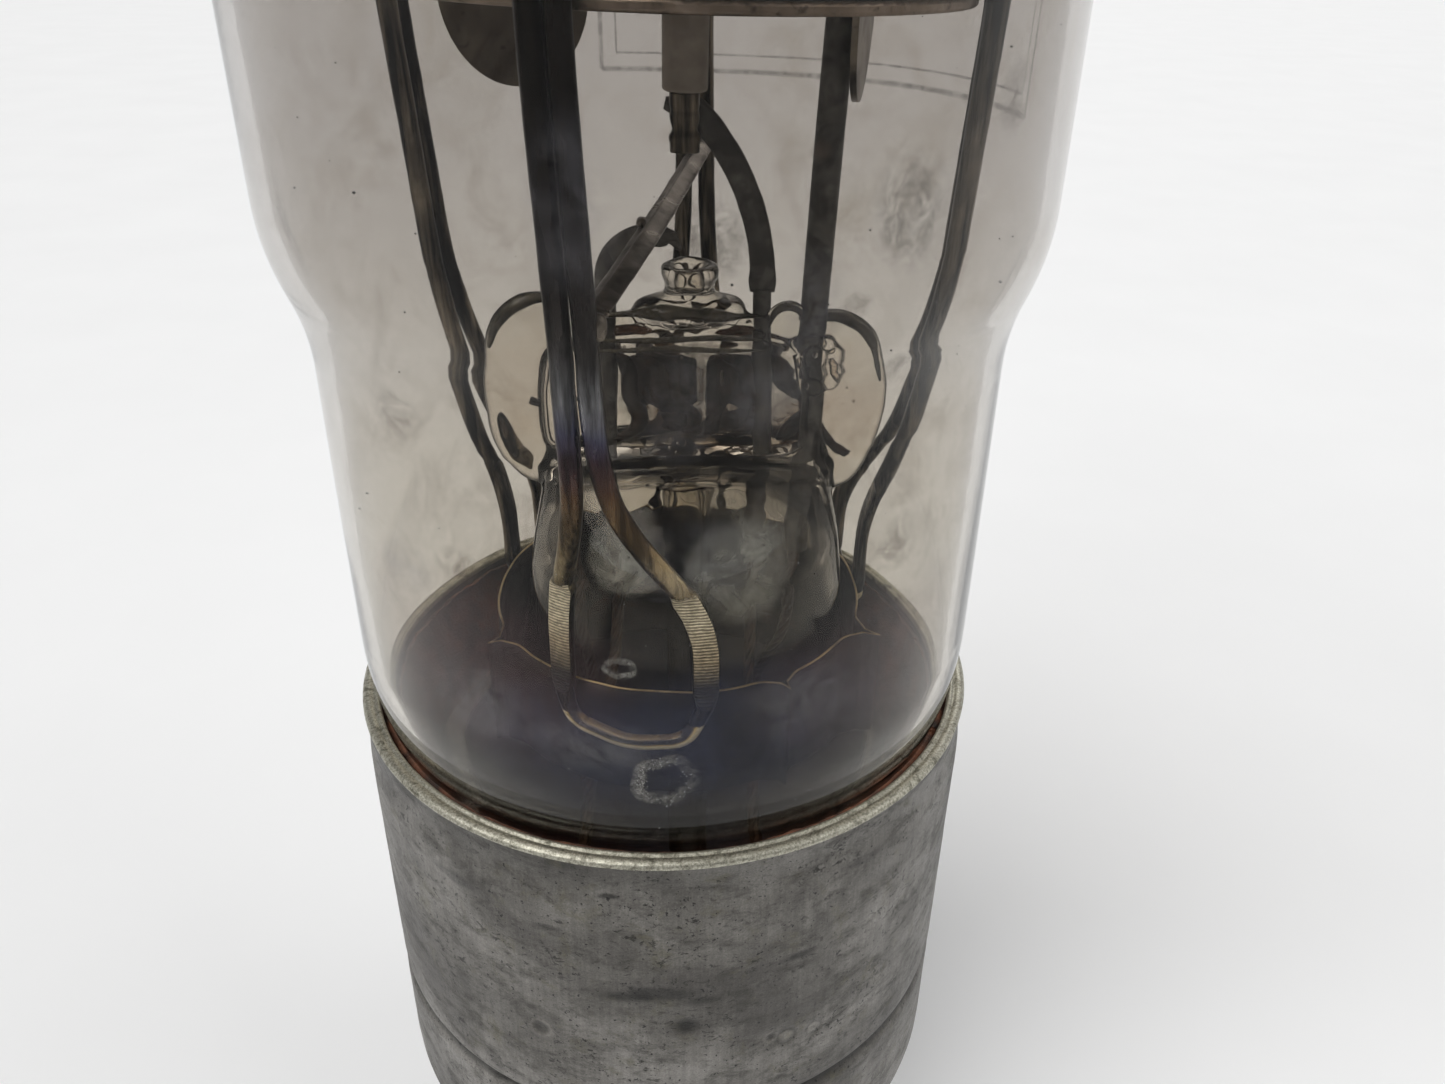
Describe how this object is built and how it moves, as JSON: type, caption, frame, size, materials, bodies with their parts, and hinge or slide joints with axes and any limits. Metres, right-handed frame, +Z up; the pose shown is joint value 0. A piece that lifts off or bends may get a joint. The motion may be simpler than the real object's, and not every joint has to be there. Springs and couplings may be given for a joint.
{
  "type": "vacuum tube",
  "caption": "Large glass control tube with a caged electrode stack, a pressed stem, a deep metal base shell with contact pins, and a metal top cap.",
  "frame": {"origin": "centre of the plane of the pin tips, on the axis of the bulb", "axes": "+Z up along the bulb towards the top cap; -Y is the side that faces the viewer, with the bayonet pin on +Y"},
  "size_m": [0.062, 0.062, 0.236],
  "materials": {
    "bulb_glass": "clear blown glass, slightly grey and dusty",
    "stem_glass": "clear pressed glass with a warm grey tint",
    "shell_metal": "dull nickel-plated steel, stained and pitted",
    "cage_metal": "nickel, darkened by heat",
    "support_metal": "nickel rod with heat colours",
    "collar_metal": "thin darkened nickel strip",
    "lead_metal": "dark oxidised lead, matt",
    "ribbon_metal": "bright nickel ribbon",
    "can_metal": "carbonised nickel, matt black-grey",
    "graphite": "machined graphite, matt dark grey",
    "ceramic": "unglazed white ceramic",
    "emitter": "chalky white oxide coating on nickel",
    "tungsten": "drawn tungsten wire",
    "cement": "brown resin cement, matt",
    "phenolic": "moulded black phenolic, dull",
    "pin_metal": "nickel-plated brass, worn",
    "solder": "dull solder",
    "copper": "copper wire, darkened"
  },
  "bodies": {
    "root": {"anode_cap": "shell_metal", "anode_cap_cement": "cement", "anode_cap_solder": "solder", "anode_disc": "graphite", "anode_flexible_lead": "copper", "anode_rod": "tungsten", "anode_rod_sleeve": "ceramic", "anode_seal_glass": "stem_glass", "base_cement": "cement", "base_insulator": "phenolic", "base_lead_wires": "copper", "base_pins": "pin_metal", "base_shell": "shell_metal", "bayonet_pin": "shell_metal", "cage_floor": "cage_metal", "cage_floor_tabs": "cage_metal", "cathode_inner_shield": "ribbon_metal", "cathode_insulator": "ceramic", "cathode_lead_bar": "lead_metal", "cathode_outer_shield": "ribbon_metal", "cathode_sleeve": "emitter", "cathode_vanes": "emitter", "ceramic_sleeve": "ceramic", "exhaust_tube": "stem_glass", "glass_bulb": "bulb_glass", "glass_stem": "stem_glass", "grid_baffle": "can_metal", "grid_can": "can_metal", "grid_can_lid": "can_metal", "grid_press_lead": "lead_metal", "grid_strap": "lead_metal", "heater_core": "ceramic", "heater_ferrule": "cage_metal", "heater_lead_rod": "tungsten", "heater_press_lead": "lead_metal", "heater_strap": "lead_metal", "heater_wire": "tungsten", "lead_bead": "stem_glass", "pin_solder": "solder", "press_seal_strands": "lead_metal", "stem_collar": "collar_metal", "support_hairpin_back": "support_metal", "support_hairpin_front": "support_metal", "support_hairpin_left": "support_metal", "support_hairpin_right": "support_metal", "tie_ribbon": "ribbon_metal"}
  },
  "joints": []
}
